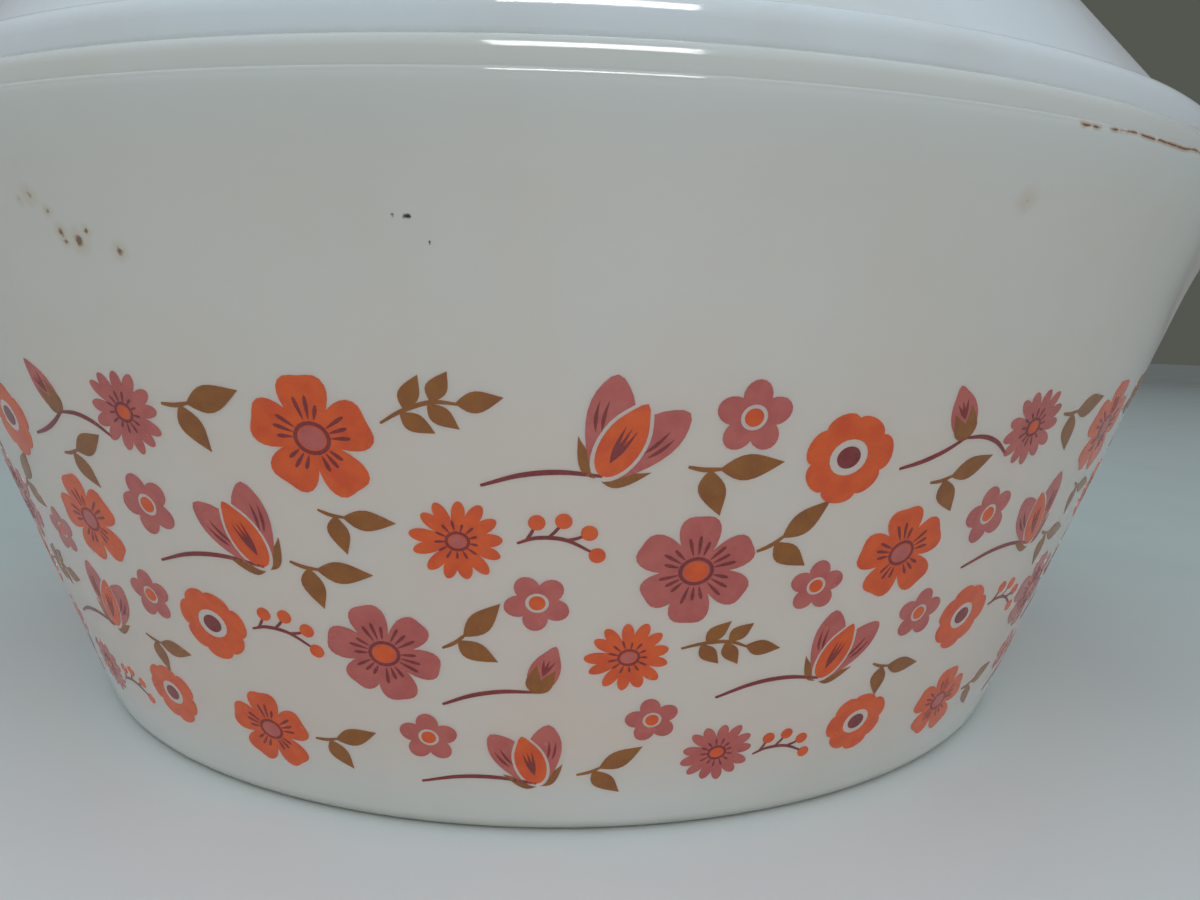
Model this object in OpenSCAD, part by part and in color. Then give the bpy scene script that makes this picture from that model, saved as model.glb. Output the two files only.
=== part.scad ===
// Covered casserole dish: a round pressed-glass dish with flaring sides and a lift-off lid.
// The lid is a shallow pan turned upside down, so it also serves as a dish of its own.
// Millimetres, +Z up. The origin is on the dish's axis, on the table that it stands on.

/* [Dish] */
// Radius at which the straight outer wall would meet the table
base_r = 88.6; // [74.6:0.1:100]
// Height of the rim's top face above the table
dish_h = 89.3; // [75:0.1:105]
// Lean of the wall away from upright, in degrees
wall_lean = 18.3; // [16.1:0.1:20]
// Thickness of the wall, square to its face
wall_t = 4.5; // [3.5:0.1:4.8]
// Thickness of the floor at its middle, above the hollow of the foot
floor_t = 4.6; // [4:0.1:7]
// Rounding where the wall turns under to the table
base_round = 2.5; // [1:0.1:4]
// Rounding inside, where the wall meets the floor
floor_round = 10; // [4:0.5:16]
// How far the wall flares outwards of its straight line just under the rim
flare = 1.9; // [0.5:0.1:2]

/* [Foot] */
// Inner radius of the ring that touches the table
foot_in_r = 79; // [60:0.5:82]
// Depth of the hollow inside that ring
foot_hollow = 1.2; // [0.5:0.1:2]

/* [Rim] */
// Width of the rim, from its outer band to the opening that the lid's lip drops into
rim_w = 6.4; // [6.2:0.1:8]
// Height of the bead's lower edge below the rim's top face
bead_drop = 4.4; // [3.8:0.1:6]
// Height of the bead along the rim's lower edge
bead_h = 1.2; // [1.2:0.1:1.8]
// How far the bead stands out from the wall below it
bead_step = 0.2; // [0.2:0.05:0.65]
// How far the bead stands out from the band above it
bead_out = 1; // [0.8:0.1:1.5]
// Rounding of the bead's edges
bead_round = 0.5; // [0.2:0.05:0.5]
// Rounding of the rim's top outer edge
rim_round = 1.5; // [0.5:0.1:1.6]

/* [Lid] */
// How far the lid's upright edge stays inside the rim's outer band
lid_inset = 2.6; // [1.6:0.1:3.4]
// Height of the lid's upright edge
lid_edge_h = 5; // [4.2:0.1:8]
// Width of the ledge between that edge and the sloping side
lid_ledge = 3.9; // [3.8:0.1:6]
// Rounding of the top of the lid's upright edge
lid_round = 2.3; // [1:0.1:3]
// Slope of the side, in degrees from level
lid_slope = 50.5; // [47:0.5:60]
// Height of the lid's top face above the rim
lid_h = 31.7; // [25:0.1:35]
// Rounding of the shoulder between the side and the top
lid_shoulder = 12; // [6:0.5:16]
// Thickness of the lid, square to its faces
lid_t = 4.2; // [3.5:0.1:5]
// Depth of the lip that drops into the dish
lip_depth = 3.2; // [2:0.1:5]
// Clearance around the lip
lip_clear = 0.7; // [0.4:0.1:1.5]
// Outer radius of the ring on the top that the lid stands on when it is turned over
stand_r = 78; // [50:0.5:80]
// Height of that ring
stand_h = 1; // [0.5:0.1:2]

/* [Tab handles] */
// How far both tabs reach out past the bead
tab_out = 20; // [18:0.5:26]
// Radius of the round sides of a tab
tab_side_r = 45; // [40:0.5:50]
// Thickness of the dish's tabs
dish_tab_t = 5; // [4.8:0.1:7]
// Drop from the rim's top face to the top of the dish's tabs
dish_tab_drop = 1.2; // [1.2:0.1:1.8]

/* [Quality] */
// Turn of one step along a rounded corner, in degrees
arc_step = 12; // [12:1:30]

/* [Hidden] */
$fn = 180;
glass_white = [0.93, 0.95, 0.95];
seat_gap = 0.05;
fine_round = 0.25;
soft_round = 0.9;
throat_round = 5;
foot_step = 1.6;
flare_arc_r = 80;
flare_run = 9.5;
sides = [0, 180];

// Radius of the dish's wall at height z: outside, and inside at its own thickness
function wall_r(z) = base_r + z * tan(wall_lean);
function wall_in_r(z) = wall_r(z) - wall_t / cos(wall_lean);

// Places along the dish's profile
bead_z = dish_h - bead_drop;
bead_r = wall_r(bead_z) + flare + bead_step;
band_r = bead_r - bead_out;
opening_r = band_r - rim_w;
flare_z = bead_z - flare_run;
floor_z = foot_hollow + floor_t;
throat_z = (opening_r - wall_in_r(0)) / tan(wall_lean);

// Places along the lid's profile
seat_z = dish_h + seat_gap;
ledge_z = seat_z + lid_edge_h;
lid_r = band_r - lid_inset;
ledge_r = lid_r - lid_ledge;
top_z = dish_h + lid_h;
lip_r = opening_r - lip_clear;
lip_in_r = lip_r - lid_t + soft_round;
lip_z = seat_z - lip_depth;

// Places of the tabs: each grows out of its piece from a root inside the glass
tab_reach = bead_r + tab_out;
tab_side_x = tab_reach + 1 - tab_side_r;
tab_margin = 0.35;
lid_tab_t = lid_edge_h - 2 * tab_margin;
dish_root_r = opening_r + 2;
lid_root_r = lid_r - 3;

// Radius of the lid's sloping side at height z: outside, and inside at its own thickness
function side_r(z) = ledge_r - (z - ledge_z) / tan(lid_slope);
function side_in_r(z) = side_r(z) - lid_t / sin(lid_slope);
function side_in_z(r) = ledge_z + (ledge_r - lid_t / sin(lid_slope) - r) * tan(lid_slope);

// Points of the arc of radius r that rounds corner p between its neighbours a and b
function corner(a, p, b, r) =
    r == 0 ? [p] :
    let (
        u = (a - p) / norm(a - p),
        v = (b - p) / norm(b - p),
        half = acos(u * v) / 2,
        centre = p + (u + v) / norm(u + v) * r / sin(half),
        from = p + u * r / tan(half) - centre,
        to = p + v * r / tan(half) - centre,
        start = atan2(from.y, from.x),
        turn = atan2(cross(from, to), from * to),
        steps = max(2, ceil(abs(turn) / arc_step))
    )
    [for (i = [0 : steps]) centre + r * [cos(start + turn * i / steps), sin(start + turn * i / steps)]];

// Outline through corners given as [x, y, rounding radius]
function rounded(path) =
    let (n = len(path), p = [for (q = path) [q.x, q.y]])
    [for (i = [0 : n - 1]) each corner(p[(i + n - 1) % n], p[i], p[(i + 1) % n], path[i].z)];

module dish_profile() {
    polygon(rounded([
        [0, foot_hollow, 0],
        [foot_in_r - foot_step, foot_hollow, soft_round],
        [foot_in_r, 0, soft_round],
        [base_r, 0, base_round],
        [wall_r(flare_z), flare_z, flare_arc_r],
        [wall_r(bead_z) + flare, bead_z, 0],
        [bead_r, bead_z + fine_round, bead_round],
        [bead_r, bead_z + bead_h, bead_round],
        [band_r, bead_z + bead_h + fine_round, fine_round],
        [band_r - fine_round, dish_h, rim_round],
        [opening_r, dish_h, soft_round],
        [opening_r, throat_z, throat_round],
        [wall_in_r(floor_z), floor_z, floor_round],
        [0, floor_z, 0]
    ]));
}

module lid_profile() {
    polygon(rounded([
        [0, top_z - lid_t, 0],
        [side_in_r(top_z - lid_t), top_z - lid_t, lid_shoulder - lid_t],
        [lip_in_r, side_in_z(lip_in_r), soft_round],
        [lip_in_r, lip_z, soft_round],
        [lip_r, lip_z, soft_round],
        [lip_r, seat_z, fine_round],
        [lid_r - fine_round, seat_z, soft_round],
        [lid_r, ledge_z, lid_round],
        [ledge_r, ledge_z, 2 * soft_round],
        [side_r(top_z), top_z, lid_shoulder],
        [stand_r + stand_h, top_z, soft_round],
        [stand_r, top_z + stand_h, fine_round],
        [stand_r - lid_t, top_z + stand_h, fine_round],
        [stand_r - lid_t - stand_h, top_z, soft_round],
        [0, top_z, 0]
    ]));
}

// A disc of radius r and thickness t on z = 0, with a half-round edge
module round_edged_disc(r, t) {
    edge = 0.45 * t;
    rotate_extrude()
        polygon(rounded([[0, 0, 0], [r, 0, edge], [r, t, edge], [0, t, 0]]));
}

// Both tabs of a piece, from z to z + t, reaching in to radius root_r
module tabs(z, t, root_r) {
    for (turn = sides)
        rotate(turn)
            translate([0, 0, z])
                difference() {
                    intersection() {
                        translate([tab_side_x, 0, 0])
                            round_edged_disc(tab_side_r, t);
                        round_edged_disc(tab_reach, t);
                    }
                    translate([0, 0, -1])
                        cylinder(r = root_r, h = t + 2);
                }
}

module dish() {
    color(glass_white) {
        rotate_extrude()
            dish_profile();
        tabs(dish_h - dish_tab_drop - dish_tab_t, dish_tab_t, dish_root_r);
    }
}

module lid() {
    color(glass_white) {
        rotate_extrude()
            lid_profile();
        tabs(seat_z + tab_margin, lid_tab_t, lid_root_r);
    }
}

dish();
lid();
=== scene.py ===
"""Looks of the covered casserole dish: opal glass, a fired floral print, floor, light and camera."""

import cmath
import math
import random

import bpy
from mathutils import Matrix, Vector, geometry


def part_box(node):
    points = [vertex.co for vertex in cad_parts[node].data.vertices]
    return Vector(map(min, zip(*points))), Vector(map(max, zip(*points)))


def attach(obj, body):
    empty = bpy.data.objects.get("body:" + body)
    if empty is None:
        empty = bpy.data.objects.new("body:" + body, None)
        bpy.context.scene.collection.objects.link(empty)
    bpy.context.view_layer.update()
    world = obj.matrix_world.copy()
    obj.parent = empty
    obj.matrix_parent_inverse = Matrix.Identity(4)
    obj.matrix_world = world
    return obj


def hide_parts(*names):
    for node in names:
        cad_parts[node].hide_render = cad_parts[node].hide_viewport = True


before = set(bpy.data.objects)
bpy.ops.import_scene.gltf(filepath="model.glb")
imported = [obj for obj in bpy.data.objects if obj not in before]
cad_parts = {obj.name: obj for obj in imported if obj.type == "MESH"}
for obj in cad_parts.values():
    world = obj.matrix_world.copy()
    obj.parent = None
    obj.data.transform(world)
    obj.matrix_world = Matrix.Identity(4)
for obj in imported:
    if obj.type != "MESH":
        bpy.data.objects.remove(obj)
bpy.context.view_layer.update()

MM = 0.001
FULL_TURN = 2 * math.pi

# ---------------------------------------------------------------------------
# Sizes in millimetres. The ones that the frame holds are read from it; the others are those of the
# CAD, or say how its edges are softened and its tabs blended in.
# ---------------------------------------------------------------------------
dish_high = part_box("dish")[1] / MM
lid_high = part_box("lid")[1] / MM

RIM_Z = dish_high.z
BEAD_R = dish_high.y
TAB_REACH = dish_high.x
LID_R = lid_high.y

WALL_LEAN = math.radians(18.3)
BASE_R = 88.6
WALL_T = 4.5
FLOOR_T = 4.6
FLOOR_ROUND = 10
THROAT_ROUND = 5
FLARE = 1.9
FLARE_RUN = 9.5
FLARE_ARC_R = 80
FOOT_IN_R = 79
FOOT_HOLLOW = 1.2
FOOT_STEP = 1.6
BASE_ROUND = 2.5
BEAD_DROP = 4.4
BEAD_H = 1.2
BEAD_BLEND = 1.0
BEAD_BLEND_R = 1.6
BEAD_OUT = 1.0
RIM_W = 6.4
RIM_ROUND = 1.5
RIM_ROUND_AT_TAB = 0.7

LID_SLOPE = math.radians(50.5)
LID_T = 4.2
LID_EDGE_H = 5.0
LID_LEDGE = 3.9
LID_ROUND = 2.3
LID_SHOULDER = 12
LIP_DEPTH = 3.2
LIP_CLEAR = 0.7
SEAT_GAP = 0.05
STAND_R = 78
STAND_H = 1.0

TAB_SIDE_R = 45
TAB_SIDE_X = TAB_REACH + 1 - TAB_SIDE_R
# A tab blends into its edge over TAB_SOFTEN, and has its full section where it stands out by TAB_GROWN
TAB_SOFTEN = 9
TAB_GROWN = 6
DISH_TAB_T = 5
DISH_TAB_DROP = 1.2
LID_TAB_MARGIN = 0.35
TAB_EDGE_SHARE = 0.45

SOFT = 0.9
FINE = 0.25
ARC_STEPS = 6
LONG_ARC_STEPS = 12
# Shares of a straight at which it gets points of its own, so that its shading stays flat
SUPPORTS = (0.04, 0.5, 0.96)

BEAD_Z = RIM_Z - BEAD_DROP
FLARE_Z = BEAD_Z - FLARE_RUN
BAND_R = BEAD_R - BEAD_OUT
OPENING_R = BAND_R - RIM_W
SEAT_Z = RIM_Z + SEAT_GAP
LEDGE_Z = SEAT_Z + LID_EDGE_H
LEDGE_R = LID_R - LID_LEDGE
LID_TOP_Z = lid_high.z - STAND_H


def mix(a, b, share):
    return a + (b - a) * share


def smooth(share):
    share = min(max(share, 0), 1)
    return share * share * (3 - 2 * share)


def wall_r(z):
    """Outer radius of the dish's straight wall at height z."""
    return BASE_R + z * math.tan(WALL_LEAN)


def wall_in_r(z):
    return wall_r(z) - WALL_T / math.cos(WALL_LEAN)


def flare_r(z):
    """Outer radius of the flare under the rim at height z."""
    return wall_r(z) + FLARE * (z - FLARE_Z) / FLARE_RUN


def lid_side_r(z):
    """Outer radius of the lid's sloping side at height z."""
    return LEDGE_R - (z - LEDGE_Z) / math.tan(LID_SLOPE)


# ---------------------------------------------------------------------------
# The two glass pieces: a turned section that grows a tab on each side
# ---------------------------------------------------------------------------
def soft_min(a, b, reach):
    """The smaller of two lengths, blended where they come within reach of each other."""
    near = max(reach - abs(a - b), 0) / reach
    return min(a, b) - near * near * reach / 4


def soft_max(a, b, reach):
    return -soft_min(-a, -b, reach)


def tab_extent(angle, edge_r):
    """How far a tab stands out past a round edge of this radius, at this angle from +X."""
    side = abs(math.remainder(angle, math.pi))
    half_chord = TAB_SIDE_R**2 - (TAB_SIDE_X * math.sin(side)) ** 2
    ear = TAB_SIDE_X * math.cos(side) + math.sqrt(max(half_chord, 0))
    outline = soft_min(ear, TAB_REACH + TAB_SOFTEN / 8, TAB_SOFTEN / 2)
    return soft_max(outline, edge_r, TAB_SOFTEN) - edge_r


def arc(before, at, after, radius, steps):
    """Points of the arc that rounds the corner at, between its neighbours."""
    u, v = (before - at).normalized(), (after - at).normalized()
    half = u.angle(v) / 2
    centre = at + (u + v).normalized() * radius / math.sin(half)
    start = at + u * radius / math.tan(half) - centre
    end = at + v * radius / math.tan(half) - centre
    return [centre + start.slerp(end, i / steps) * radius for i in range(steps + 1)]


def section(corners):
    """Points along a section through corners (radius, height, rounding), and along its straights."""
    places = [Vector(c[:2]) for c in corners]
    points = [places[0]]
    for i in range(1, len(corners)):
        if i < len(corners) - 1:
            rounding = corners[i][2]
            steps = LONG_ARC_STEPS if rounding > 4 * SOFT else ARC_STEPS
            turned = arc(places[i - 1], places[i], places[i + 1], rounding, steps)
        else:
            turned = [places[i]]
        last = points[-1]
        points += [last.lerp(turned[0], share) for share in SUPPORTS] + turned
    return points


def dish_section(extent):
    """The dish's section where its rim stands out by extent, from under the foot round to the floor."""
    tab = smooth(extent / TAB_GROWN)
    tab_top = RIM_Z - DISH_TAB_DROP
    low = mix(BEAD_Z, tab_top - DISH_TAB_T, tab)
    high = mix(BEAD_Z + BEAD_H, tab_top, tab)
    edge = TAB_EDGE_SHARE * DISH_TAB_T
    step = mix(1.5 * FINE, FINE / 10, tab)
    blend = mix(BEAD_BLEND, 0, tab)
    floor_z = FOOT_HOLLOW + FLOOR_T
    throat_z = (OPENING_R - wall_in_r(0)) / math.tan(WALL_LEAN)
    return section([
        (0, FOOT_HOLLOW, 0),
        (FOOT_IN_R - FOOT_STEP, FOOT_HOLLOW, SOFT),
        (FOOT_IN_R, 0, SOFT),
        (BASE_R, 0, BASE_ROUND),
        (wall_r(FLARE_Z), FLARE_Z, FLARE_ARC_R),
        (flare_r(low - blend), low - blend, mix(FINE / 2, SOFT, tab)),
        (BEAD_R + extent, low + step, mix(BEAD_BLEND_R, edge, tab)),
        (BEAD_R + extent, high, mix(1.8 * FINE, edge, tab)),
        (BAND_R, high + FINE / 10, FINE / 10),
        (BAND_R - FINE, RIM_Z, mix(RIM_ROUND, RIM_ROUND_AT_TAB, tab)),
        (OPENING_R, RIM_Z, SOFT),
        (OPENING_R, throat_z, THROAT_ROUND),
        (wall_in_r(floor_z), floor_z, FLOOR_ROUND),
        (0, floor_z, 0),
    ])


def lid_section(extent):
    """The lid's section where its edge stands out by extent, from its underside round to its top."""
    tab = smooth(extent / TAB_GROWN)
    margin = mix(FINE / 10, LID_TAB_MARGIN, tab)
    low, high = SEAT_Z + margin, LEDGE_Z - margin
    tab_edge = TAB_EDGE_SHARE * (LID_EDGE_H - 2 * LID_TAB_MARGIN)
    lip_r = OPENING_R - LIP_CLEAR
    lip_in_r = lip_r - LID_T + SOFT
    lip_z = SEAT_Z - LIP_DEPTH
    across = LID_T / math.sin(LID_SLOPE)
    under_z = LID_TOP_Z - LID_T
    return section([
        (0, under_z, 0),
        (lid_side_r(under_z) - across, under_z, LID_SHOULDER - LID_T),
        (lip_in_r, LEDGE_Z + (LEDGE_R - across - lip_in_r) * math.tan(LID_SLOPE), 2 * SOFT),
        (lip_in_r, lip_z, SOFT),
        (lip_r, lip_z, SOFT),
        (lip_r, SEAT_Z, FINE),
        (LID_R - 3 * SOFT, SEAT_Z, FINE),
        (LID_R - 2 * SOFT, low, FINE),
        (LID_R - mix(FINE, 0, tab) + extent, low, mix(SOFT, tab_edge, tab)),
        (LID_R + extent, high, mix(LID_ROUND, tab_edge, tab)),
        (LID_R - LID_ROUND - 0.4 * FINE, high, FINE / 5),
        (LID_R - LID_ROUND - 1.2 * FINE, LEDGE_Z, FINE / 5),
        (LEDGE_R, LEDGE_Z, SOFT / 2),
        (lid_side_r(LID_TOP_Z), LID_TOP_Z, LID_SHOULDER),
        (STAND_R + STAND_H, LID_TOP_Z, SOFT),
        (STAND_R, LID_TOP_Z + STAND_H, FINE),
        (STAND_R - LID_T, LID_TOP_Z + STAND_H, FINE),
        (STAND_R - LID_T - STAND_H, LID_TOP_Z, SOFT),
        (0, LID_TOP_Z, 0),
    ])


def angles_round(coarse, fine, tab_half):
    """Angles round the axis, in degrees: coarse steps, and fine ones within tab_half of +X and -X."""
    angles, angle = [], 0
    while angle < 360 - fine / 2:
        angles.append(angle)
        from_tab = abs(math.remainder(angle + fine / 2, 180))
        angle += fine if from_tab < tab_half else coarse
    return angles


def turned_glass(name, section_at, edge_r):
    """A closed mesh whose section goes once round the Z axis; its first and last points lie on the axis."""
    angles = [math.radians(a) for a in angles_round(coarse=1, fine=0.5, tab_half=28)]
    sections = [section_at(tab_extent(a, edge_r)) for a in angles]
    inner = len(sections[0]) - 2
    verts = [(0, 0, sections[0][0].y * MM), (0, 0, sections[0][-1].y * MM)]
    for a, points in zip(angles, sections):
        verts += [(p.x * MM * math.cos(a), p.x * MM * math.sin(a), p.y * MM) for p in points[1:-1]]
    faces = []
    for k in range(len(angles)):
        here, there = 2 + k * inner, 2 + (k + 1) % len(angles) * inner
        faces.append((0, there, here))
        faces += [(here + i, there + i, there + i + 1, here + i + 1) for i in range(inner - 1)]
        faces.append((here + inner - 1, there + inner - 1, 1))
    return new_piece(name, verts, faces, smooth_faces=True)


def new_piece(name, verts, faces, smooth_faces):
    mesh = bpy.data.meshes.new(name)
    mesh.from_pydata(verts, [], faces)
    mesh.polygons.foreach_set("use_smooth", [smooth_faces] * len(mesh.polygons))
    mesh.validate()
    piece = bpy.data.objects.new(name, mesh)
    bpy.context.scene.collection.objects.link(piece)
    return piece


# ---------------------------------------------------------------------------
# Outlines of the print, in mm, as lists of complex points: x to the right, y up the wall
# ---------------------------------------------------------------------------
def turned(outline, degrees, centre=0):
    spin = cmath.rect(1, math.radians(degrees))
    return [centre + (p - centre) * spin for p in outline]


def oval(centre, long, wide=None, turn=0, count=20):
    """An ellipse with these half-lengths."""
    wide = long if wide is None else wide
    rim = [FULL_TURN * i / count for i in range(count)]
    return turned([centre + complex(long * math.cos(t), wide * math.sin(t)) for t in rim], turn, centre)


def petal(turn, inner, outer, width, lean, tip=0.0, count=26):
    """A petal from inner to outer radius. Lean widens its outer part; tip points it, or notches it."""
    outline = []
    for i in range(count):
        t = FULL_TURN * (i / count - 0.5)
        along = mix(inner, outer, (1 + math.cos(t)) / 2) + tip * math.exp(-((t / 0.42) ** 2))
        across = width / 2 * math.sin(t) * (1 + lean * math.cos(t))
        outline.append(complex(along, across))
    return turned(outline, turn)


def even_turns(count, first):
    return [first + 360 * i / count for i in range(count)]


def ring_of(count, first, wobble, inner, outer, width, lean, tip=0.0):
    """Petals all round, each a little longer or shorter, wider or narrower, and off its even place."""
    petals = []
    for turn in even_turns(count, first):
        own_outer = outer * wobble.uniform(0.94, 1.05)
        own_width = width * wobble.uniform(0.94, 1.08)
        petals.append(petal(turn + wobble.uniform(-3, 3), inner, own_outer, own_width, lean, tip))
    return petals


def leaf(base, turn, length, width, bend=0.12):
    """A leaf from its base to its pointed tip; bend swings the tip aside."""
    sides = [], []
    count = 9
    for i in range(count + 1):
        t = i / count
        middle = complex(length * t, bend * length * t * t)
        half = width / 2 * math.sin(math.pi * t) * (1 + 0.25 * math.cos(math.pi * t))
        sides[0].append(base + middle - half * 1j)
        sides[1].append(base + middle + half * 1j)
    return turned(sides[0] + sides[1][-2:0:-1], turn, base)


def stem(*points, width=0.52, per_span=7):
    """A stalk through these points, thinner at its ends."""
    through = [2 * points[0] - points[1], *points, 2 * points[-1] - points[-2]]
    path = []
    for a, b, c, d in zip(through, through[1:], through[2:], through[3:]):
        for i in range(per_span):
            t = i / per_span
            path.append(b + (c - a) * t / 2 + (2 * a - 5 * b + 4 * c - d) * t * t / 2
                        + (3 * b - a - 3 * c + d) * t**3 / 2)
    path.append(points[-1])
    ahead = [q - p for p, q in zip(path, path[1:])]
    ahead.append(ahead[-1])
    rims = [], []
    for i, (p, way) in enumerate(zip(path, ahead)):
        share = i / (len(path) - 1)
        half = width / 2 * (0.55 + 0.45 * math.sin(math.pi * share)) * 1j * way / abs(way)
        rims[0].append(p - half)
        rims[1].append(p + half)
    return rims[0] + rims[1][::-1]


# ---------------------------------------------------------------------------
# Motifs. Each is a list of (ink, level, outlines, cuts); higher levels are printed over lower ones.
# ---------------------------------------------------------------------------
def strokes(turns, inner, outer, width, wobble):
    """Short lines that run out from the middle, each a little longer or shorter."""
    ends = [mix(inner, outer, wobble.uniform(0.72, 1.12)) for _ in turns]
    return [petal(turn, inner, end, width, lean=0.5, count=10) for turn, end in zip(turns, ends)]


def bloom(ink, eye, petals, width, notch, seed):
    """An open flower: broad petals, an outlined eye, and three short lines on each petal."""
    wobble = random.Random(seed)
    ring = ring_of(petals, 90, wobble, inner=0.2, outer=6.8, width=width, lean=0.5, tip=-notch)
    lines = [turn + aside for turn in even_turns(petals, 90) for aside in (-16, 0, 16)]
    return [
        (ink, 0, ring, []),
        ("plum", 1, strokes(lines, 1.9, 4.1, 0.38, wobble) + [oval(0, 1.9, 1.75)], [oval(0, 1.5, 1.35)]),
        (eye, 1, [oval(0, 1.36, 1.21)], []),
    ]


def orange_bloom():
    return bloom("orange", "pink", petals=5, width=4.5, notch=0.5, seed=11)


def pink_bloom():
    return bloom("pink", "orange", petals=6, width=3.8, notch=0.35, seed=5)


def daisy(ink, eye, seed):
    """A small flower of many narrow petals round an outlined eye."""
    wobble = random.Random(seed)
    ring = ring_of(13, 3, wobble, inner=0.3, outer=5.2, width=1.5, lean=0.5, tip=0.1)
    lines = strokes(even_turns(13, 17), 1.3, 2.6, 0.3, wobble)
    return [
        (ink, 0, ring, []),
        ("plum", 1, lines + [oval(0, 1.45, 1.3)], [oval(0, 1.1, 0.95)]),
        (eye, 1, [oval(0, 0.95, 0.8)], []),
    ]


def orange_daisy():
    return daisy("orange", "pink", seed=21)


def pink_daisy():
    return daisy("pink", "orange", seed=34)


def eyed_flower():
    """Round petals about a clear ring of glass, with a dark eye in its middle."""
    ring = ring_of(7, 10, random.Random(2), inner=0.8, outer=5.0, width=3.6, lean=0.4)
    return [("orange", 0, ring, [oval(0, 2.2, 2.05)]), ("plum", 0, [oval(0, 1.35, 1.25)], [])]


def small_blossom():
    """Five round petals about a dot."""
    petals = [oval(cmath.rect(2.2, math.radians(turn)), 1.65, 1.45, turn, 18) for turn in even_turns(5, 90)]
    return [("pink", 0, petals, [oval(0, 1.35)]), ("orange", 0, [oval(0, 0.95)], [])]


def tulip():
    """A tulip from the side: a middle petal, two side ones across a thin line of glass, and two sepals."""
    base = -4.6j
    middle = petal(90, -4.4, 3.4, 4.2, lean=0.0, tip=1.1)
    clearance = petal(90, -5.0, 3.9, 5.0, lean=0.0, tip=1.25)
    sides = [petal(turn, 0, 10.4, 4.6, lean=0.25, tip=0.7) for turn in (68, 112)]
    sides = [[p + base for p in side] for side in sides]
    sepals = [leaf(base - 0.2j, 12, 4.8, 1.7, bend=0.45), leaf(base - 0.2j, 168, 4.8, 1.7, bend=-0.45)]
    veins = [leaf(base + 1.8j, turn, 4.4, 0.42, bend) for turn, bend in ((76, 0.1), (90, 0), (104, -0.1))]
    side_veins = [leaf(base + cmath.rect(5.0, math.radians(turn)), turn, 3.4, 0.4, bend)
                  for turn, bend in ((54, 0.22), (61, 0.2), (119, -0.2), (126, -0.22))]
    return [
        ("pink", 0, sides, [clearance]),
        ("orange", 0, [middle], []),
        ("olive", 0, sepals, sides + [clearance]),
        ("plum", 1, veins + side_veins, []),
    ]


def bud():
    """A closed bud on two sepals."""
    sepals = [leaf(-2.9j, 58, 4.0, 1.7, bend=0.3), leaf(-2.9j, 122, 4.0, 1.7, bend=-0.3)]
    return [
        ("pink", 0, [petal(90, -2.4, 3.3, 3.5, lean=-0.1, tip=0.9)], sepals),
        ("olive", 0, sepals, []),
        ("plum", 1, [leaf(-0.2j, turn, 2.4, 0.34, 0) for turn in (74, 90, 106)], []),
    ]


def leaf_pair():
    """Two leaves on a short stalk."""
    return [("olive", 0, [stem(0j, 2 + 0.4j, 4.2 + 1.4j, width=0.6), leaf(3.6 + 1.1j, 24, 8.0, 3.3, 0.08),
                          leaf(2.6 + 0.7j, -62, 6.4, 3.3, 0.2)], [])]


def sprig():
    """A curved stalk with a leaf at its end and two on each side."""
    pairs = [(3.2 + 1.0j, 62, 4.6), (2.6 + 0.8j, -52, 4.4), (6.4 + 1.4j, 56, 4.2), (6.0 + 1.3j, -62, 4.4)]
    leaves = [leaf(base, turn, length, 2.3, math.copysign(0.15, -turn)) for base, turn, length in pairs]
    end_leaf = leaf(9 + 0.8j, -10, 5.4, 2.5)
    return [("olive", 0, [stem(0j, 3 + 1.0j, 6.5 + 1.4j, 9.5 + 0.6j, width=0.55), end_leaf] + leaves, [])]


def berry_twig():
    """A curved twig with three round berries."""
    tips = [2.2 + 3.1j, 5.4 + 3.6j, 8.6 + 2.2j]
    feet = [1.0 + 0.5j, 3.6 + 1.1j, 5.8 + 1.0j]
    twigs = [stem(foot, mix(foot, tip, 0.5) - 0.25j, tip, width=0.42) for foot, tip in zip(feet, tips)]
    return [
        ("plum", 0, [stem(0j, 2.4 + 1.0j, 5.8 + 1.0j, 9.4 - 0.6j, width=0.55)] + twigs, []),
        ("orange", 1, [oval(tip, 1.05) for tip in tips + [9.8 - 0.9j]], []),
    ]


def stalk(across, up, sag):
    """A hanging stalk to this far end."""
    end = complex(across, up)
    way = end / abs(end)
    sagged = [end * share - 1j * way * sag * math.sin(math.pi * share) for share in (0, 1 / 3, 2 / 3, 1)]
    return [("plum", 0, [stem(*sagged, width=0.6)], [])]


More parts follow.
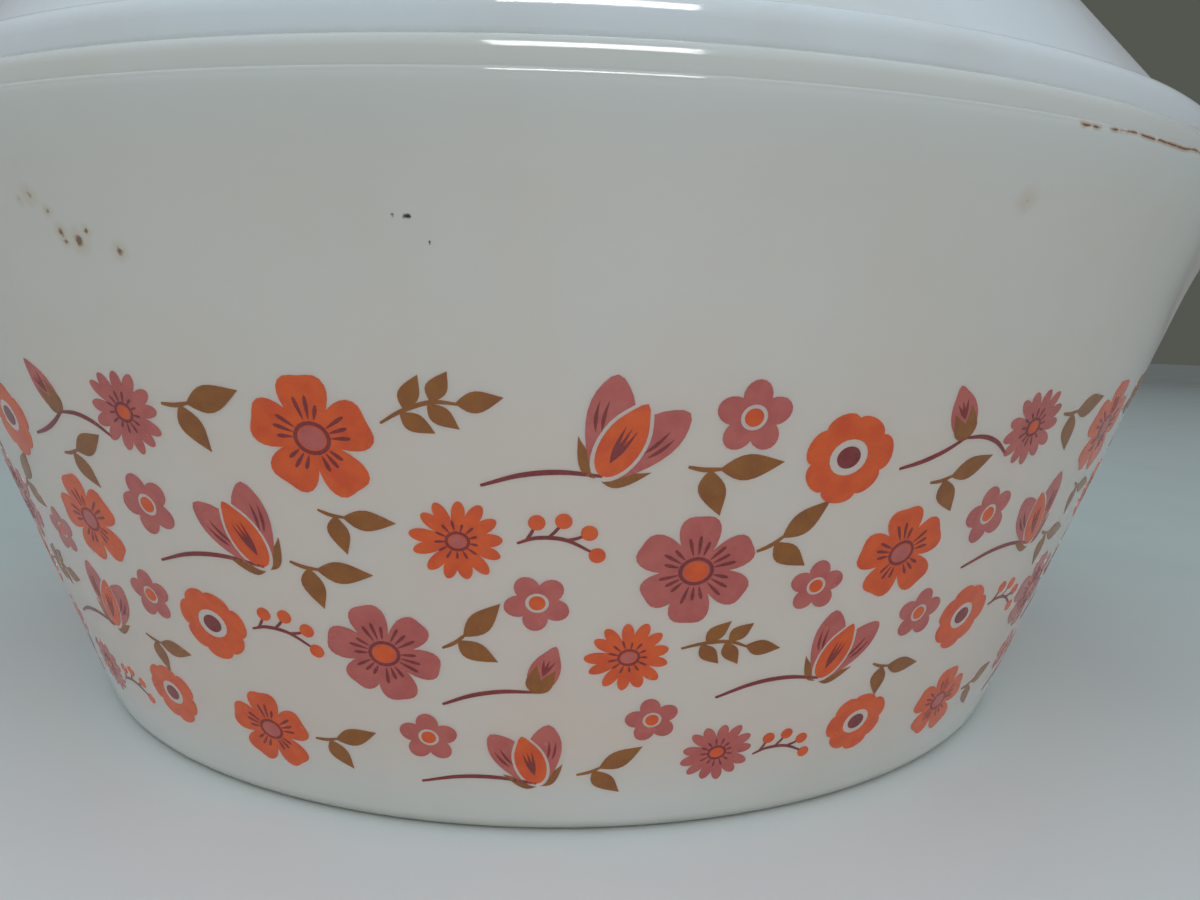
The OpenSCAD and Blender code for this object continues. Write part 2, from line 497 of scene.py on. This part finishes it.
# One stretch of the print: motif, degrees from its middle, height in mm, turn, size
REPEATS = 6
STRETCH = (
    (pink_daisy, -27.4, 54.0, 0, 0.99),
    (leaf_pair, -24.0, 55.4, -14, 0.93),
    (orange_bloom, -14.2, 52.6, 0, 1.12),
    (sprig, -10.0, 54.6, 12, 0.92),
    (tulip, 3.4, 53.4, -28, 1.04),
    (small_blossom, 10.6, 56.0, 0, 1.1),
    (leaf_pair, 7.2, 50.6, -22, 0.91),
    (eyed_flower, 17.2, 51.4, 0, 1.09),
    (bud, 25.2, 55.6, 30, 1.1),
    (leaf_pair, 24.2, 47.8, -6, 0.84),
    (small_blossom, -28.4, 42.6, 20, 1.1),
    (tulip, -20.6, 40.4, 24, 1.01),
    (leaf_pair, -17.6, 37.6, -30, 0.86),
    (leaf_pair, -14.8, 44.4, -32, 0.76),
    (orange_daisy, -6.2, 41.6, 0, 0.97),
    (berry_twig, -2.6, 41.6, -4, 0.89),
    (small_blossom, -1.4, 34.2, 30, 0.99),
    (pink_bloom, 8.6, 38.2, 0, 1.08),
    (leaf_pair, 12.4, 40.4, 14, 0.86),
    (orange_bloom, 23.8, 38.8, 10, 1.01),
    (small_blossom, 17.4, 35.4, 0, 0.93),
    (eyed_flower, -26.0, 27.2, 0, 1.03),
    (berry_twig, -22.2, 27.6, -8, 0.89),
    (pink_bloom, -12.0, 26.4, 15, 1.05),
    (leaf_pair, -7.8, 27.8, 18, 0.82),
    (bud, -1.0, 24.6, -20, 1.04),
    (orange_daisy, 4.8, 27.0, 10, 0.94),
    (sprig, 8.4, 28.0, -6, 0.88),
    (tulip, 20.8, 25.6, -20, 0.95),
    (small_blossom, 28.0, 29.4, 0, 0.99),
    (leaf_pair, 25.0, 22.6, -34, 0.76),
    (orange_bloom, -23.4, 12.2, 0, 0.94),
    (leaf_pair, -19.2, 12.2, -10, 0.78),
    (small_blossom, -9.6, 14.6, 0, 0.97),
    (tulip, -2.0, 11.8, 14, 0.89),
    (leaf_pair, 1.6, 9.6, 4, 0.78),
    (small_blossom, 7.0, 17.8, 12, 0.88),
    (pink_daisy, 12.6, 12.0, 0, 0.89),
    (berry_twig, 15.8, 11.0, -2, 0.8),
    (eyed_flower, 25.4, 13.4, 20, 0.96),
)
# Stalks between them: start and end as (degrees, height), and how far they hang
STALKS = (
    ((2.3, 49.5), (-4.6, 48.2), 1.0),
    ((21.2, 49.8), (26.0, 53.2), 0.5),
    ((26.0, 53.2), (30.6, 50.8), -1.0),
    ((-19.7, 36.5), (-29.0, 35.2), 1.4),
    ((19.9, 21.9), (11.6, 20.6), 1.4),
    ((-1.6, 22.1), (-8.2, 19.8), 0.9),
    ((-1.5, 8.2), (-10.6, 7.6), 1.2),
)
# How far the ink of each level stands out of the wall, how deep it is set in, and how finely it is meshed
INK_LIFT = (0.045, 0.07)
INK_DEPTH = 0.12
INK_GRID = 2.4
INSIDE_ONLY = 1
MERGE_MM = 1e-4


def inside(p, outline):
    """Whether the point lies within the outline."""
    odd = False
    for a, b in zip(outline, outline[1:] + outline[:1]):
        if (a.imag > p.imag) != (b.imag > p.imag):
            if p.real < a.real + (b.real - a.real) * (p.imag - a.imag) / (b.imag - a.imag):
                odd = not odd
    return odd


def filled(outlines, cuts):
    """Points and triangles of all that lies within an outline and outside every cut."""
    points, loops = [], []
    for outline in outlines + cuts:
        loops.append(list(range(len(points), len(points) + len(outline))))
        points += outline
    across, up = [p.real for p in points], [p.imag for p in points]
    columns = math.ceil((max(across) - min(across)) / INK_GRID)
    rows = math.ceil((max(up) - min(up)) / INK_GRID)
    points += [complex(min(across) + (i + 0.5 + 0.5 * (j % 2)) * INK_GRID, min(up) + (j + 0.5) * INK_GRID)
               for i in range(columns) for j in range(rows)]
    places = [Vector((p.real, p.imag)) for p in points]
    made = geometry.delaunay_2d_cdt(places, [], loops, INSIDE_ONLY, MERGE_MM)
    corners = [complex(v.x, v.y) for v in made[0]]
    kept = []
    for a, b, c in made[2]:
        middle = (corners[a] + corners[b] + corners[c]) / 3
        if any(inside(middle, o) for o in outlines) and not any(inside(middle, o) for o in cuts):
            turns_left = ((corners[b] - corners[a]).conjugate() * (corners[c] - corners[a])).imag > 0
            kept.append((a, b, c) if turns_left else (a, c, b))
    used = sorted({i for face in kept for i in face})
    number = {old: new for new, old in enumerate(used)}
    return [corners[i] for i in used], [tuple(number[i] for i in face) for face in kept]


def on_wall(p, azimuth, height, lift):
    """Where a flat point of a motif lies on the dish's wall, in metres. Azimuth 0 is the -Y side."""
    z = height + p.imag * math.cos(WALL_LEAN)
    angle = math.radians(azimuth) + p.real / wall_r(z)
    r = wall_r(z) + lift * math.cos(WALL_LEAN)
    z -= lift * math.sin(WALL_LEAN)
    return r * math.sin(angle) * MM, -r * math.cos(angle) * MM, z * MM


def flat_layers(motif):
    """Each ink layer of a motif as (ink, level, points, triangles)."""
    return [(ink, level, *filled(outlines, cuts)) for ink, level, outlines, cuts in motif]


def placed_motifs():
    """Every motif of a stretch as (layers, degrees, height, turn, size)."""
    made = {motif: flat_layers(motif()) for motif in dict.fromkeys(row[0] for row in STRETCH)}
    placed = [(made[motif], *place) for motif, *place in STRETCH]
    for (start, low), (end, high), sag in STALKS:
        across = math.radians(end - start) * wall_r((low + high) / 2)
        up = (high - low) / math.cos(WALL_LEAN)
        placed.append((flat_layers(stalk(across, up, sag)), start, low, 0, 1))
    return placed


def print_layers():
    """Vertices and faces of the print for each ink, as thin closed slabs set into the wall."""
    inks = {ink: ([], []) for ink in INKS}
    for layers, degrees, height, turn, size in placed_motifs():
        for ink, level, corners, triangles in layers:
            verts, faces = inks[ink]
            edges = {(a, b) for f in triangles for a, b in zip(f, f[1:] + f[:1])}
            rim = sorted((a, b) for a, b in edges if (b, a) not in edges)
            flat = turned([c * size for c in corners], turn)
            for repeat in range(REPEATS):
                azimuth = degrees + repeat * 360 / REPEATS
                top = len(verts)
                under = top + len(flat)
                verts += [on_wall(p, azimuth, height, INK_LIFT[level]) for p in flat]
                verts += [on_wall(p, azimuth, height, -INK_DEPTH) for p in flat]
                faces += [(top + a, top + b, top + c) for a, b, c in triangles]
                faces += [(under + c, under + b, under + a) for a, b, c in triangles]
                faces += [(top + b, top + a, under + a, under + b) for a, b in rim]
    return inks


# ---------------------------------------------------------------------------
# Materials
# ---------------------------------------------------------------------------
# Brown and dark specks on the dish: (degrees, height, radius in mm)
BROWN_SPECKS = (
    (-28.3, 80.0, 0.32), (-28.5, 76.8, 0.48), (-29.4, 76.3, 0.28), (-27.6, 75.2, 0.32), (-27.2, 73.0, 0.42),
    (-27.1, 72.2, 0.34), (-26.1, 72.2, 0.6), (-25.3, 73.1, 0.32), (-23.5, 71.1, 0.46), (23.5, 78.8, 0.62),
)
DARK_SPECKS = (
    (-8.0, 74.4, 0.24), (-7.3, 74.4, 0.36), (-6.4, 72.3, 0.22), (-6.7, 73.8, 0.14), (4.5, 85.0, 0.2),
    (-5.3, 85.7, 0.22), (-4.9, 85.7, 0.16), (5.0, 85.3, 0.16), (-9.9, 82.0, 0.14), (24.9, 56.0, 0.12),
)
# More of them round the sides and the back, in clusters about these middles: (degrees, height)
SPECK_CLUSTERS = ((96, 74), (151, 69), (208, 76), (262, 72))
SPECKS_A_CLUSTER = 6
# Dirt along the bead: (degrees, radius in mm)
SEAM_Z = BEAD_Z + 0.7
SEAM_DIRT_Z = 86
SEAM_DIRT = (
    (25.4, 2.5), (29, 5), (33.4, 6), (38, 5), (-5.1, 1.2), (4.8, 1.6), (8, 1), (-15.9, 1.4), (118, 9),
    (201, 12), (297, 7),
)


class Nodes:
    """Short names for making and joining the nodes of one material."""

    def __init__(self, name):
        self.material = bpy.data.materials.new(name)
        self.material.use_nodes = True
        self.tree = self.material.node_tree
        self.shader = self.tree.nodes["Principled BSDF"]
        self.place = self.new("ShaderNodeTexCoord").outputs["Object"]

    def new(self, kind, **settings):
        node = self.tree.nodes.new(kind)
        for key, value in settings.items():
            setattr(node, key, value)
        return node

    def put(self, source, target):
        """Joins an output to an input, or sets the input to a plain value."""
        if isinstance(source, bpy.types.NodeSocket):
            self.tree.links.new(source, target)
        else:
            target.default_value = source

    def noise(self, size_mm, detail=2.0, roughness=0.5, output="Fac"):
        node = self.new("ShaderNodeTexNoise")
        self.put(self.place, node.inputs["Vector"])
        node.inputs["Scale"].default_value = 1 / (size_mm * MM)
        node.inputs["Detail"].default_value = detail
        node.inputs["Roughness"].default_value = roughness
        return node.outputs[output]

    def ramp(self, source, low, high, to_low=0.0, to_high=1.0):
        """Maps low..high of the source to to_low..to_high, and holds it there outside."""
        node = self.new("ShaderNodeMapRange")
        self.put(source, node.inputs["Value"])
        for key, value in (("From Min", low), ("From Max", high), ("To Min", to_low), ("To Max", to_high)):
            node.inputs[key].default_value = value
        return node.outputs["Result"]

    def math(self, operation, a, b=0.0):
        node = self.new("ShaderNodeMath", operation=operation)
        self.put(a, node.inputs[0])
        self.put(b, node.inputs[1])
        return node.outputs["Value"]

    def times(self, *factors):
        product = factors[0]
        for factor in factors[1:]:
            product = self.math("MULTIPLY", product, factor)
        return product

    def vector(self, operation, a, b):
        node = self.new("ShaderNodeVectorMath", operation=operation)
        self.put(a, node.inputs[0])
        self.put(b, node.inputs[1])
        return node.outputs["Value" if operation == "DISTANCE" else "Vector"]

    def height(self):
        split = self.new("ShaderNodeSeparateXYZ")
        self.put(self.place, split.inputs["Vector"])
        return split.outputs["Z"]

    def ragged_place(self, size_mm, reach_mm):
        """The place, pushed about at random by up to half the reach each way."""
        push = self.vector("SUBTRACT", self.noise(size_mm, output="Color"), (0.5,) * 3)
        return self.vector("ADD", self.place, self.vector("MULTIPLY", push, (reach_mm * MM,) * 3))

    def mixed(self, share, a, b):
        node = self.new("ShaderNodeMix", data_type="RGBA")
        self.put(share, node.inputs["Factor"])
        self.put(a, node.inputs["A"])
        self.put(b, node.inputs["B"])
        return node.outputs["Result"]

    def bump(self, height, distance_mm, normal=None):
        node = self.new("ShaderNodeBump")
        self.put(height, node.inputs["Height"])
        node.inputs["Distance"].default_value = distance_mm * MM
        if normal:
            self.put(normal, node.inputs["Normal"])
        return node.outputs["Normal"]

    def finish(self, **inputs):
        for key, value in inputs.items():
            self.put(value, self.shader.inputs["IOR" if key == "ior" else key.replace("_", " ").title()])
        return self.material


def srgb(red, green, blue):
    """A linear colour from 0..255 display values."""
    def linear(value):
        value /= 255
        return value / 12.92 if value <= 0.04045 else ((value + 0.055) / 1.055) ** 2.4
    return linear(red), linear(green), linear(blue), 1.0


DISH_TONES = srgb(216, 218, 213), srgb(221, 223, 219)
# Painted light: the lid's glass is bluer and brighter than the dish's, standing in for the sky light its
# upper surfaces catch
LID_SKY_LIT_TONES = srgb(231, 240, 245), srgb(235, 242, 247)
WARM_GLASS = srgb(224, 207, 193)
GLASS_STAIN = srgb(210, 202, 184)
RUST = srgb(116, 72, 14)
RUST_HALO = srgb(190, 152, 84)
SOOT = srgb(44, 34, 20)
SEAM_STAIN = srgb(176, 128, 78)
SEAM_LINE = srgb(96, 58, 32)
# Painted shade for the foot's contact with the floor
FOOT_CONTACT_SHADE = srgb(166, 170, 158)
# Painted shade for the bead's upper edge
BEAD_TOP_SHADE = srgb(120, 118, 110)
INKS = {
    "orange": (srgb(233, 90, 4), srgb(221, 76, 3)),
    "pink": (srgb(198, 99, 90), srgb(187, 87, 82)),
    "olive": (srgb(154, 90, 3), srgb(140, 78, 2)),
    "plum": (srgb(140, 38, 40), srgb(122, 30, 34)),
}
INK_CHALK = srgb(226, 205, 190)
BACKDROP = srgb(84, 86, 80)


def near_places(n, places, place=None, outer=1.0, inner=0.8):
    """1 near these places on the dish's outside, given as (degrees, height, radius in mm), and 0 elsewhere.

    It falls off between the inner and the outer share of each radius.
    """
    near = 0.0
    for degrees, height, radius in places:
        away = n.vector("DISTANCE", place or n.place, on_wall(0, degrees, height, 0))
        near = n.math("MAXIMUM", near, n.ramp(away, outer * radius * MM, inner * radius * MM))
    return near


def warmed(n, colour):
    """Warms the glass of the wall, more so behind the print, where the fired inks have tinted it."""
    height = n.height()
    above_foot = n.ramp(height, 4 * MM, 14 * MM)
    below_bead = n.ramp(height, 86 * MM, 78 * MM)
    printed = n.ramp(height, 68 * MM, 54 * MM)
    amount = n.math("ADD", n.ramp(n.noise(14, 3), 0.3, 0.6, 0.3, 0.45), n.times(printed, 0.32))
    return n.mixed(n.times(above_foot, below_bead, amount), colour, WARM_GLASS)


def clustered_specks():
    """Specks in a few clusters on the sides and the back, as (degrees, height, radius in mm)."""
    draw = random.Random(17)
    return tuple((middle + draw.gauss(0, 2.2), height + draw.gauss(0, 2.5), draw.uniform(0.15, 0.45))
                 for middle, height in SPECK_CLUSTERS for _ in range(SPECKS_A_CLUSTER))


def speckled(n, colour):
    """Adds brown and dark specks with ragged outlines, the brown ones in faint rusty halos."""
    place = n.ragged_place(0.7, reach_mm=0.9)
    brown = BROWN_SPECKS + clustered_specks()
    halo = n.times(near_places(n, brown, place, 3.2, 0.6), 0.28)
    colour = n.mixed(halo, colour, RUST_HALO)
    core = n.times(near_places(n, brown, place, 1.15, 0.45), 0.85)
    colour = n.mixed(core, colour, RUST)
    return n.mixed(near_places(n, DARK_SPECKS, place, 1.2, 0.6), colour, SOOT)


def bead_shade_and_seam_dirt(n, colour):
    """Paints shade on the bead's upper edge, where it faces up to the sky, and adds a thin broken brown
    line of dirt along the bead.
    """
    height = n.height()
    # Painted shade: the band just under the bead's top edge is greyed a little, so its upward face looks no
    # lighter than the wall
    top = (BEAD_Z + BEAD_H) * MM
    under_top = n.ramp(height, top - 0.6 * MM, top - 0.3 * MM, 0.0, 0.15)
    over_top = n.ramp(height, top, top + 0.05 * MM, 1.0, 0.0)
    colour = n.mixed(n.times(under_top, over_top), colour, BEAD_TOP_SHADE)
    waver = n.ramp(n.noise(6, 2), 0.3, 0.7, -0.2 * MM, 0.2 * MM)
    off_seam = n.math("SUBTRACT", n.math("SUBTRACT", height, SEAM_Z * MM), waver)
    across = n.math("ABSOLUTE", off_seam)
    places = [(degrees, SEAM_DIRT_Z, radius) for degrees, radius in SEAM_DIRT]
    dirty = n.times(n.ramp(n.noise(2.2, 4), 0.38, 0.48), near_places(n, places))
    colour = n.mixed(n.times(n.ramp(across, 0.4 * MM, 0.08 * MM), dirty, 0.75), colour, SEAM_STAIN)
    return n.mixed(n.times(n.ramp(across, 0.13 * MM, 0.03 * MM), dirty, 0.85), colour, SEAM_LINE)


def foot_contact_shade(n, colour):
    """Paints shade on the rounding at the foot, darker towards the floor, in place of the shadow where the
    dish stands on it.
    """
    low = n.ramp(n.height(), 0.4 * MM, 2.2 * MM, 1.0, 0.0)
    # Painted shade: the foot's rounding darkens towards the floor, with a ragged variation
    return n.mixed(n.times(low, n.ramp(n.noise(5, 3), 0.3, 0.7, 0.7, 0.95)), colour, FOOT_CONTACT_SHADE)


def opal_glass(name, tone, pale, *marks):
    """White opal glass between two close tones, with mould waves, faint stains, smudges and these marks."""
    n = Nodes(name)
    colour = n.mixed(n.ramp(n.noise(46, 2), 0.35, 0.65), tone, pale)
    stain = n.times(n.ramp(n.noise(30, 4), 0.52, 0.78), 0.3)
    colour = n.mixed(stain, colour, GLASS_STAIN)
    for mark in marks:
        colour = mark(n, colour)
    smudge = n.ramp(n.noise(24, 5, roughness=0.6), 0.45, 0.75, 0.055, 0.14)
    waves = n.bump(n.noise(34, 1), 0.10)
    skin = n.bump(n.noise(1.4, 2), 0.0015, normal=waves)
    return n.finish(
        base_color=colour,
        roughness=smudge,
        normal=skin,
        ior=1.5,
        subsurface_weight=0.3,
        subsurface_radius=(1.0, 1.05, 1.1),
        subsurface_scale=3 * MM,
    )


def enamel(name, colour, deep):
    """Fired enamel: one mottled colour with a fine grain and a slightly duller gloss than the glass."""
    n = Nodes(name)
    mottle = n.ramp(n.noise(2.4, 3), 0.38, 0.66)
    shade = n.mixed(mottle, colour, deep)
    grain = n.ramp(n.noise(0.35, 2), 0.3, 0.75, 0.0, 0.03)
    shade = n.mixed(grain, shade, INK_CHALK)
    rough = n.ramp(n.noise(3, 2), 0.3, 0.7, 0.16, 0.28)
    return n.finish(base_color=shade, roughness=rough, normal=n.bump(n.noise(0.5, 2), 0.004), ior=1.5)


def floor_paint_and_light_pool(name):
    """Pale painted floor, slightly uneven in tone and gloss, with painted light: brightest in front of the
    dish, as if a pool of light fell there.
    """
    n = Nodes(name)
    distance = n.vector("DISTANCE", n.place, (0.0, -0.17, 0.0))
    tone = n.ramp(n.noise(60, 4), 0.3, 0.7)
    paint = n.mixed(tone, srgb(240, 243, 244), srgb(244, 247, 247))
    # Painted light: lightest near a point in front of the dish, greyer further off
    paint = n.mixed(n.ramp(distance, 0.05, 0.28), paint, srgb(190, 199, 194))
    paint = n.mixed(n.ramp(distance, 0.3, 1.5), paint, srgb(104, 106, 100))
    return n.finish(base_color=paint, roughness=n.ramp(n.noise(35, 3), 0.3, 0.7, 0.42, 0.55))


# ---------------------------------------------------------------------------
# The pieces
# ---------------------------------------------------------------------------
def add_glass(name, node, section_at, edge_r, material):
    piece = turned_glass(name, section_at, edge_r)
    piece.data.materials.append(material)
    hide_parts(node)
    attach(piece, node)


dish_opal = opal_glass("opal_dish", *DISH_TONES, warmed, speckled, bead_shade_and_seam_dirt, foot_contact_shade)
add_glass("dish_glass", "dish", dish_section, BEAD_R, dish_opal)
add_glass("lid_glass", "lid", lid_section, LID_R, opal_glass("opal_lid", *LID_SKY_LIT_TONES))

for ink, (verts, faces) in print_layers().items():
    layer = new_piece("print_" + ink, verts, faces, smooth_faces=False)
    layer.data.materials.append(enamel("enamel_" + ink, *INKS[ink]))
    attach(layer, "dish")


# ---------------------------------------------------------------------------
# Stage, light and camera, in metres
# ---------------------------------------------------------------------------
def add_floor():
    """A wide round floor."""
    radii = [0.1 * ring for ring in range(1, 25)]
    count = 96
    turns = [FULL_TURN * k / count for k in range(count)]
    verts = [(0, 0, 0)] + [(r * math.cos(t), r * math.sin(t), 0) for r in radii for t in turns]
    faces = []
    for k in range(count):
        after = (k + 1) % count
        faces.append((0, 1 + k, 1 + after))
        for a in range(1, len(verts) - count, count):
            faces.append((a + k, a + count + k, a + count + after, a + after))
    floor = new_piece("floor", verts, faces, smooth_faces=True)
    floor.data.materials.append(floor_paint_and_light_pool("floor_paint_and_light_pool"))


def add_area_light(name, place, aim, width, height, radiance, colour, shows):
    """A soft rectangular light. It lights surfaces (diffuse) or only shows as a reflection (gloss)."""
    light = bpy.data.lights.new(name, "AREA")
    light.shape = "RECTANGLE"
    light.size, light.size_y = width, height
    light.energy, light.color = radiance * math.pi * width * height, colour
    lamp = bpy.data.objects.new(name, light)
    lamp.location = place
    lamp.rotation_euler = (Vector(aim) - Vector(place)).to_track_quat("-Z", "Y").to_euler()
    lamp.visible_camera = False
    lamp.visible_diffuse = shows == "diffuse"
    lamp.visible_glossy = shows == "gloss"
    bpy.context.scene.collection.objects.link(lamp)


def add_world(level, overhead, right, backdrop):
    """Soft light from all round, stronger and bluer from overhead, and dimmed to this share on the right.

    The camera itself sees a plain backdrop instead.
    """
    world = bpy.data.worlds.new("studio")
    world.use_nodes = True
    tree = world.node_tree
    way = tree.nodes.new("ShaderNodeSeparateXYZ")
    tree.links.new(tree.nodes.new("ShaderNodeTexCoord").outputs["Generated"], way.inputs["Vector"])

    def eased(source, *limits):
        node = tree.nodes.new("ShaderNodeMapRange")
        node.interpolation_type = "SMOOTHSTEP"
        for key, value in zip(("From Min", "From Max", "To Min", "To Max"), limits):
            node.inputs[key].default_value = value
        tree.links.new(source, node.inputs["Value"])
        return node.outputs["Result"]

    sky = tree.nodes.new("ShaderNodeMix")
    sky.data_type = "RGBA"
    sky.inputs["A"].default_value = level
    sky.inputs["B"].default_value = overhead
    tree.links.new(eased(way.outputs["Z"], 0.3, 0.95), sky.inputs["Factor"])
    background = tree.nodes["Background"]
    tree.links.new(sky.outputs["Result"], background.inputs["Color"])
    tree.links.new(eased(way.outputs["X"], 0.0, 0.8, 1.0, right), background.inputs["Strength"])
    seen = tree.nodes.new("ShaderNodeBackground")
    seen.inputs["Color"].default_value = backdrop
    choice = tree.nodes.new("ShaderNodeMixShader")
    tree.links.new(tree.nodes.new("ShaderNodeLightPath").outputs["Is Camera Ray"], choice.inputs["Fac"])
    tree.links.new(background.outputs["Background"], choice.inputs[1])
    tree.links.new(seen.outputs["Background"], choice.inputs[2])
    tree.links.new(choice.outputs["Shader"], tree.nodes["World Output"].inputs["Surface"])
    bpy.context.scene.world = world


def add_camera():
    """Close in front of the dish, a little above half its height, looking slightly down."""
    back, up = 196.8 * MM, 65.3 * MM
    down, right, roll = (math.radians(a) for a in (8.07, 2.43, 1.48))
    camera = bpy.data.cameras.new("camera")
    camera.sensor_width, camera.lens = 36, 27.03
    camera.clip_start = 0.01
    rig = bpy.data.objects.new("camera", camera)
    bpy.context.scene.collection.objects.link(rig)
    look = Matrix.Rotation(-right, 4, "Z") @ Matrix.Rotation(math.pi / 2 - down, 4, "X")
    rig.matrix_world = Matrix.Translation((0, -back, up)) @ look @ Matrix.Rotation(roll, 4, "Z")
    bpy.context.scene.camera = rig


add_floor()
add_world(level=(0.262, 0.256, 0.248, 1), overhead=(0.73, 0.86, 0.97, 1), right=0.72, backdrop=BACKDROP)
add_area_light("front", place=(0.08, -0.85, 0.62), aim=(0, 0, 0.06), width=0.8, height=0.5,
               radiance=1.38, colour=(1, 0.97, 0.93), shows="diffuse")
add_area_light("window", place=(0.055, -0.80, 0.83), aim=(0, 0, 0.085), width=0.5, height=0.45,
               radiance=15, colour=(1, 1, 1), shows="gloss")
add_camera()
bpy.context.scene.view_settings.view_transform = "Standard"
